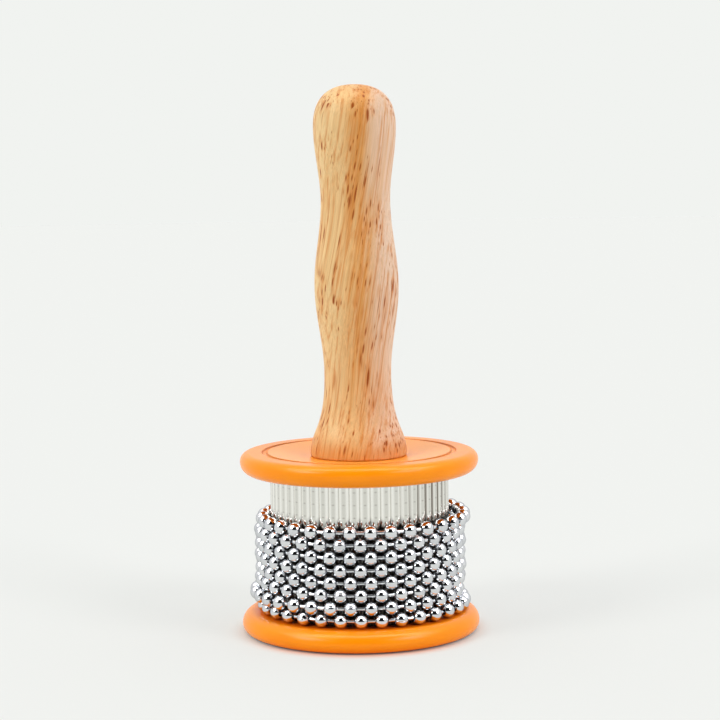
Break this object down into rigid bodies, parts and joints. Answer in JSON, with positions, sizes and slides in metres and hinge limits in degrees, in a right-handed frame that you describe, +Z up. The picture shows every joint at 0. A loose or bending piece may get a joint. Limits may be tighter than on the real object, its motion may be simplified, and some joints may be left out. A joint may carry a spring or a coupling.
{
  "type": "cabasa",
  "caption": "Hand percussion shaker: endless loops of steel ball chain turn and lift on a fluted metal drum between two wooden flanges, on a turned wooden handle.",
  "frame": {"origin": "middle of the bottom flange's underside, on the drum's axis", "axes": "+Z up the drum's axis to the tip of the handle, -Y the side that the picture shows as the front"},
  "size_m": [0.088, 0.088, 0.2009],
  "materials": {
    "handle_wood": "oiled pale wood",
    "flange_paint": "satin orange enamel on wood",
    "core_wood": "bare turned wood",
    "sleeve_metal": "bright fluted sheet",
    "chain_chrome": "polished",
    "screw_steel": "zinc plated"
  },
  "bodies": {
    "drum": {"handle": "handle_wood", "top_flange": "flange_paint", "bottom_flange": "flange_paint", "drum_core": "core_wood", "drum_sleeve": "sleeve_metal", "centre_screw": "screw_steel", "screw_washer": "screw_steel"},
    "chain_1": {"chain_1_balls": "chain_chrome", "chain_1_links": "chain_chrome"},
    "chain_2": {"chain_2_balls": "chain_chrome", "chain_2_links": "chain_chrome"},
    "chain_3": {"chain_3_balls": "chain_chrome", "chain_3_links": "chain_chrome"},
    "chain_4": {"chain_4_balls": "chain_chrome", "chain_4_links": "chain_chrome"},
    "chain_5": {"chain_5_balls": "chain_chrome", "chain_5_links": "chain_chrome"},
    "chain_6": {"chain_6_balls": "chain_chrome", "chain_6_links": "chain_chrome"},
    "chain_7": {"chain_7_balls": "chain_chrome", "chain_7_links": "chain_chrome"},
    "chain_8": {"chain_8_balls": "chain_chrome", "chain_8_links": "chain_chrome"}
  },
  "joints": [
    {"name": "chain_pack_spin", "type": "hinge", "parent": "drum", "child": "chain_8", "pos_m": [0, 0, 0.0105], "axis": [0, 0, 1], "continuous": true},
    {"name": "chain_7_lift", "type": "slide", "parent": "chain_8", "child": "chain_7", "axis": [0, 0, 1], "range_m": [0, 0.0018]},
    {"name": "chain_6_lift", "type": "slide", "parent": "chain_7", "child": "chain_6", "axis": [0, 0, 1], "range_m": [0, 0.0018]},
    {"name": "chain_5_lift", "type": "slide", "parent": "chain_6", "child": "chain_5", "axis": [0, 0, 1], "range_m": [0, 0.0018]},
    {"name": "chain_4_lift", "type": "slide", "parent": "chain_5", "child": "chain_4", "axis": [0, 0, 1], "range_m": [0, 0.0018]},
    {"name": "chain_3_lift", "type": "slide", "parent": "chain_4", "child": "chain_3", "axis": [0, 0, 1], "range_m": [0, 0.0018]},
    {"name": "chain_2_lift", "type": "slide", "parent": "chain_3", "child": "chain_2", "axis": [0, 0, 1], "range_m": [0, 0.0018]},
    {"name": "chain_1_lift", "type": "slide", "parent": "chain_2", "child": "chain_1", "axis": [0, 0, 1], "range_m": [0, 0.0018]}
  ]
}
